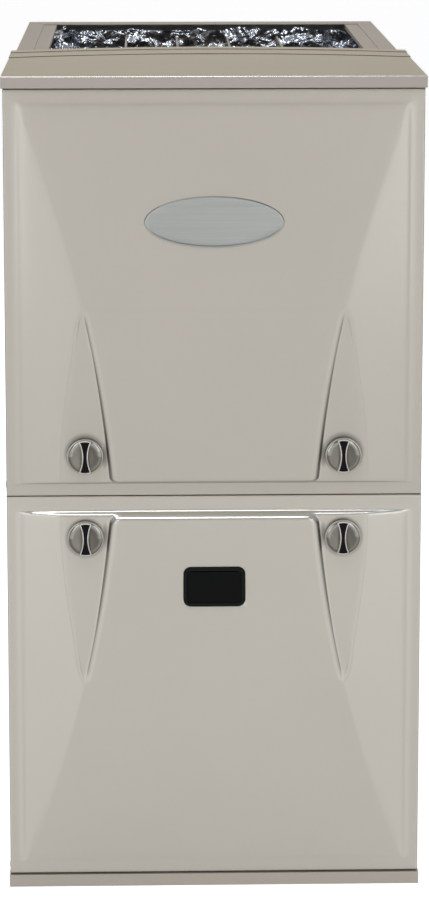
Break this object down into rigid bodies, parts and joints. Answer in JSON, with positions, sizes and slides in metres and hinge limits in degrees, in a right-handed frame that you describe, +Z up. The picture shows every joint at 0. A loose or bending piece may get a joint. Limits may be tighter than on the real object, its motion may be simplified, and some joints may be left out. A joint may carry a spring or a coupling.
{
  "type": "forced air gas furnace",
  "caption": "Upright sheet metal gas furnace with two embossed front doors held by turn knobs, an open warm air outlet on top and a blower inside.",
  "frame": {"origin": "middle of the footprint, on the floor", "axes": "+Z up, the doors face -Y, +X to the right as seen from the front"},
  "size_m": [0.449, 0.762, 0.895],
  "materials": {
    "beige_paint": "satin",
    "trim_paint": "satin",
    "galvanised": "satin",
    "foil": "gloss",
    "aluminised_steel": "satin",
    "coil_metal": "satin",
    "black_plastic": "matte",
    "black_rubber": "matte",
    "pipe_black": "satin",
    "cast_alloy": "satin",
    "motor_black": "satin",
    "shaft_steel": "satin",
    "ceramic": "matte",
    "vent_plastic": "satin",
    "board": "satin",
    "transformer_iron": "matte",
    "white_plastic": "satin",
    "filter_media": "matte",
    "plate_metal": "satin",
    "window_glass": "gloss",
    "knob_grey": "satin",
    "inlay_black": "satin"
  },
  "bodies": {
    "casing": {"casing_wrapper": "beige_paint", "base_pan": "beige_paint", "top_front_panel": "trim_paint", "outlet_front_flange": "trim_paint", "outlet_rail_left": "trim_paint", "outlet_rail_right": "trim_paint", "latch_rail": "galvanised", "blower_deck": "galvanised", "vestibule_panel": "galvanised", "insulation_left": "foil", "insulation_right": "foil", "insulation_back": "foil", "heat_exchanger_cell_1": "aluminised_steel", "heat_exchanger_cell_2": "aluminised_steel", "heat_exchanger_cell_3": "aluminised_steel", "heat_exchanger_cell_4": "aluminised_steel", "coupling_box": "galvanised", "secondary_coil": "coil_metal", "collector_box": "black_plastic", "burner_box": "galvanised", "burners": "galvanised", "gas_manifold": "pipe_black", "gas_valve": "cast_alloy", "hot_surface_igniter": "ceramic", "flame_sensor": "ceramic", "inducer_housing": "black_plastic", "inducer_motor": "motor_black", "vent_elbow": "vent_plastic", "pressure_switch": "black_plastic", "pressure_hose": "black_rubber", "condensate_trap": "black_plastic", "drain_hose": "black_rubber", "blower_housing": "galvanised", "blower_motor": "motor_black", "motor_mount": "galvanised", "control_box": "galvanised", "control_board": "board", "transformer": "transformer_iron", "door_switch": "black_plastic", "junction_box": "galvanised", "air_filter": "filter_media", "casing_screws": "galvanised"},
    "upper_door_assembly": {"upper_door": "beige_paint", "badge_plate": "plate_metal"},
    "lower_door_assembly": {"lower_door": "beige_paint", "window_frame": "black_rubber", "sight_window": "window_glass"},
    "upper_left_latch": {"knob_upper_left": "knob_grey", "inlay_upper_left": "inlay_black"},
    "upper_right_latch": {"knob_upper_right": "knob_grey", "inlay_upper_right": "inlay_black"},
    "lower_left_latch": {"knob_lower_left": "knob_grey", "inlay_lower_left": "inlay_black"},
    "lower_right_latch": {"knob_lower_right": "knob_grey", "inlay_lower_right": "inlay_black"},
    "blower_rotor": {"blower_wheel": "galvanised", "blower_shaft": "shaft_steel"},
    "inducer_rotor": {"inducer_wheel": "galvanised"},
    "switch_plunger": {"door_switch_plunger": "white_plastic"},
    "valve_knob": {"gas_valve_switch": "black_plastic"}
  },
  "joints": [
    {"name": "upper_door_tilt", "type": "hinge", "parent": "casing", "child": "upper_door_assembly", "pos_m": [0, -0.368, 0.875], "axis": [-1, 0, 0], "range_deg": [0, 30]},
    {"name": "lower_door_tilt", "type": "hinge", "parent": "casing", "child": "lower_door_assembly", "pos_m": [0, -0.368, 0.0145], "axis": [1, 0, 0], "range_deg": [0, 30]},
    {"name": "upper_left_latch_turn", "type": "hinge", "parent": "upper_door_assembly", "child": "upper_left_latch", "pos_m": [-0.138, -0.368, 0.482], "axis": [0, 1, 0], "range_deg": [0, 90]},
    {"name": "upper_right_latch_turn", "type": "hinge", "parent": "upper_door_assembly", "child": "upper_right_latch", "pos_m": [0.138, -0.368, 0.482], "axis": [0, 1, 0], "range_deg": [0, 90]},
    {"name": "lower_left_latch_turn", "type": "hinge", "parent": "lower_door_assembly", "child": "lower_left_latch", "pos_m": [-0.138, -0.368, 0.392], "axis": [0, 1, 0], "range_deg": [0, 90]},
    {"name": "lower_right_latch_turn", "type": "hinge", "parent": "lower_door_assembly", "child": "lower_right_latch", "pos_m": [0.138, -0.368, 0.392], "axis": [0, 1, 0], "range_deg": [0, 90]},
    {"name": "blower_spin", "type": "hinge", "parent": "casing", "child": "blower_rotor", "pos_m": [0, 0.096, 0.246], "axis": [1, 0, 0], "continuous": true},
    {"name": "inducer_spin", "type": "hinge", "parent": "casing", "child": "inducer_rotor", "pos_m": [0.02, -0.243, 0.55], "axis": [0, 1, 0], "continuous": true},
    {"name": "door_switch_press", "type": "slide", "parent": "casing", "child": "switch_plunger", "axis": [0, 1, 0], "range_m": [0, 0.003], "stiffness_N_per_m": 300, "springref_m": -0.004},
    {"name": "gas_valve_turn", "type": "hinge", "parent": "casing", "child": "valve_knob", "pos_m": [-0.144, -0.32365, 0.751], "axis": [0, 1, 0], "range_deg": [0, 90]}
  ]
}
